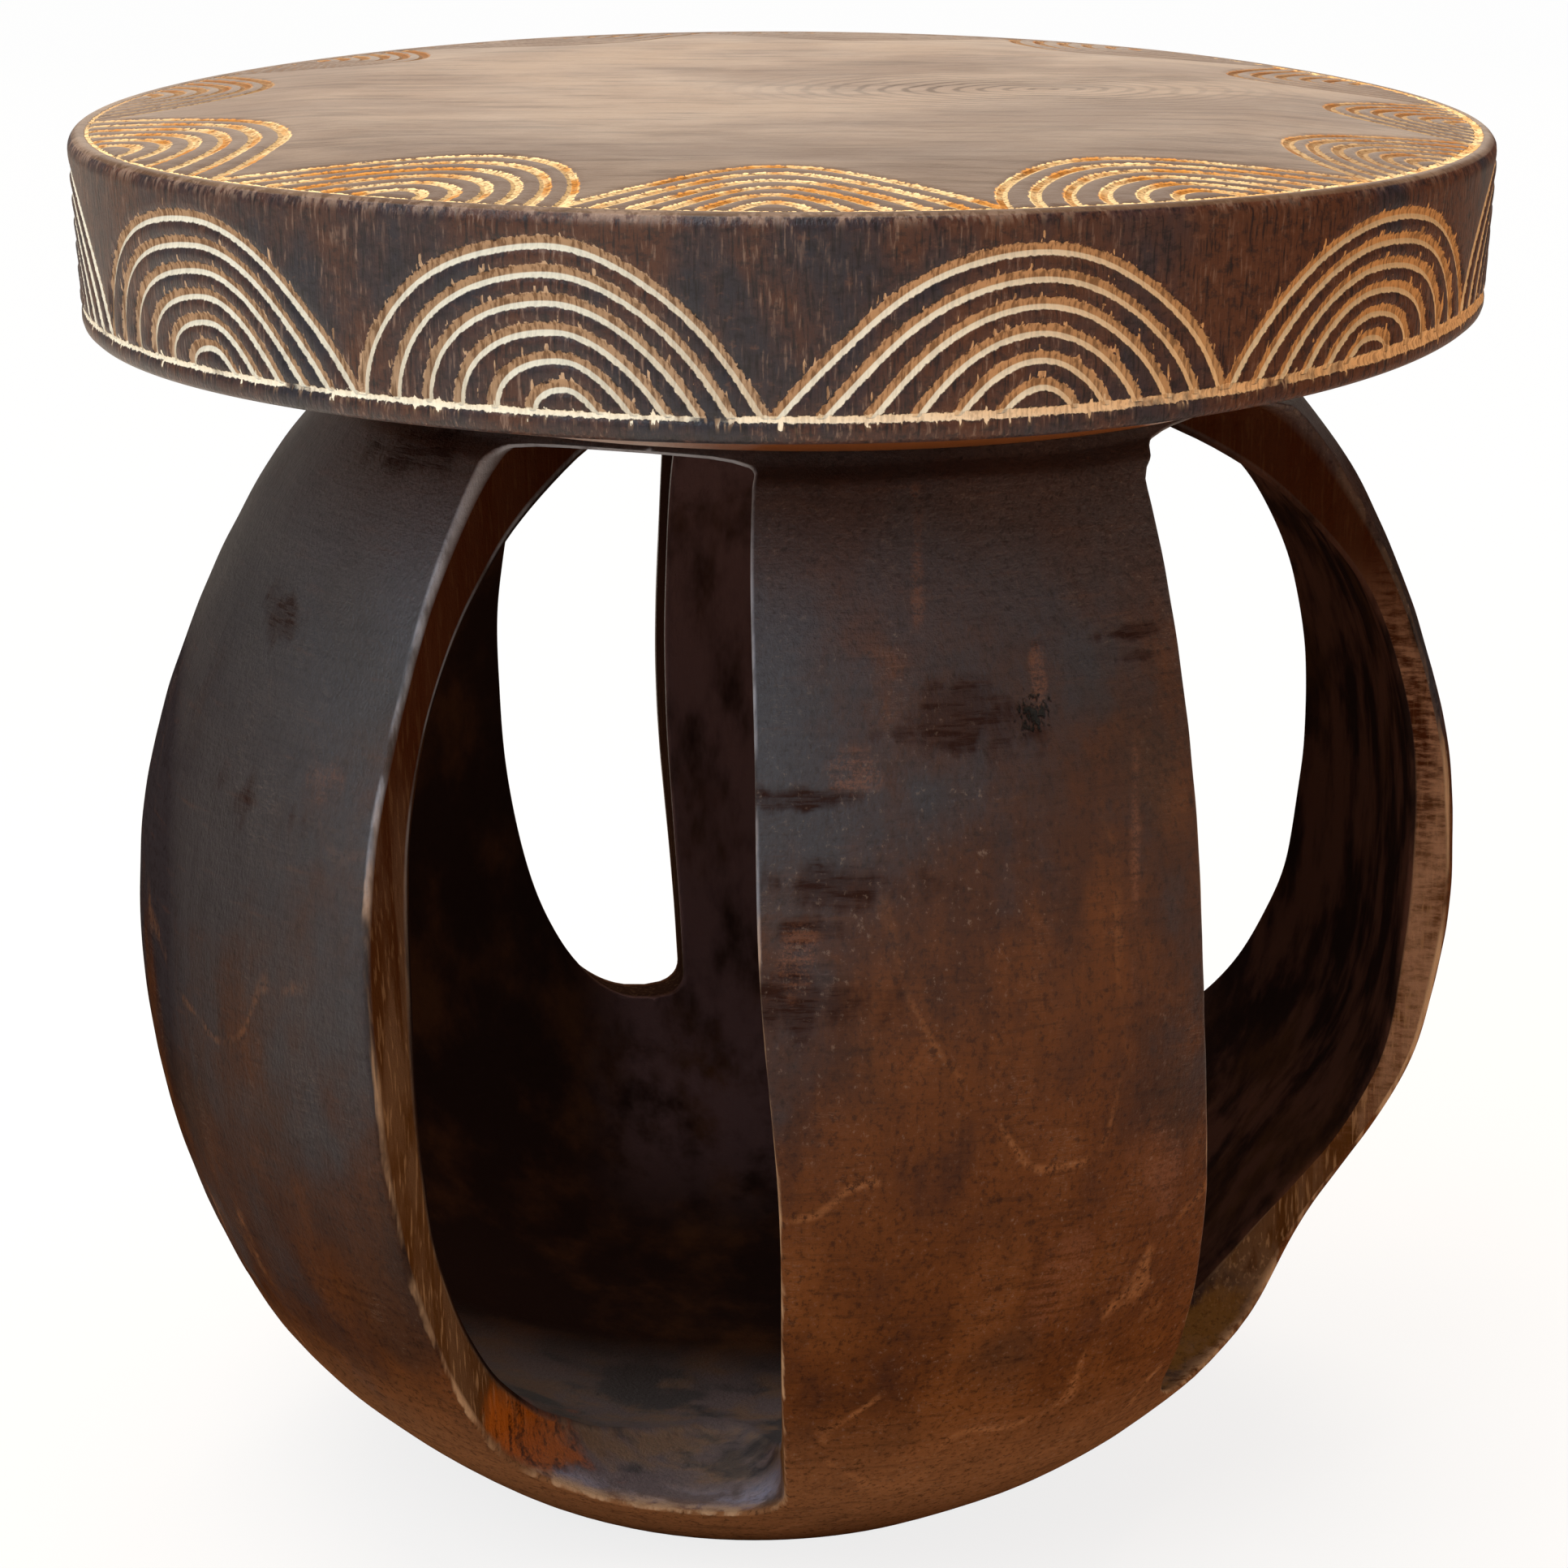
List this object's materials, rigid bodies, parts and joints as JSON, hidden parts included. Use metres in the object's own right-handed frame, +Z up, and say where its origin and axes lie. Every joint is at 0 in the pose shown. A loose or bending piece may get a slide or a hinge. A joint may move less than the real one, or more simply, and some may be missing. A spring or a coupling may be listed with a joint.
{
  "type": "carved wooden stool",
  "caption": "Low round wooden stool: a thick seat slab with carved arches on a hollow, openwork globe of broad curved legs over a solid dished base.",
  "frame": {"origin": "on the floor, under the middle of the seat", "axes": "+Z up, -Y towards the front leg, +X to the right as seen from the front"},
  "size_m": [0.425, 0.425, 0.4265],
  "materials": {
    "carved_seat_wood": "dark stained and waxed, carved grooves left raw",
    "neck_wood": "dark stained, tool marked",
    "leg_wood": "dark stained and waxed, worn reddish brown",
    "base_wood": "dark stained, worn reddish brown"
  },
  "bodies": {
    "root": {"seat": "carved_seat_wood", "neck": "neck_wood", "leg_front": "leg_wood", "leg_right": "leg_wood", "leg_back": "leg_wood", "leg_back_left": "leg_wood", "leg_left": "leg_wood", "base": "base_wood"}
  },
  "joints": []
}
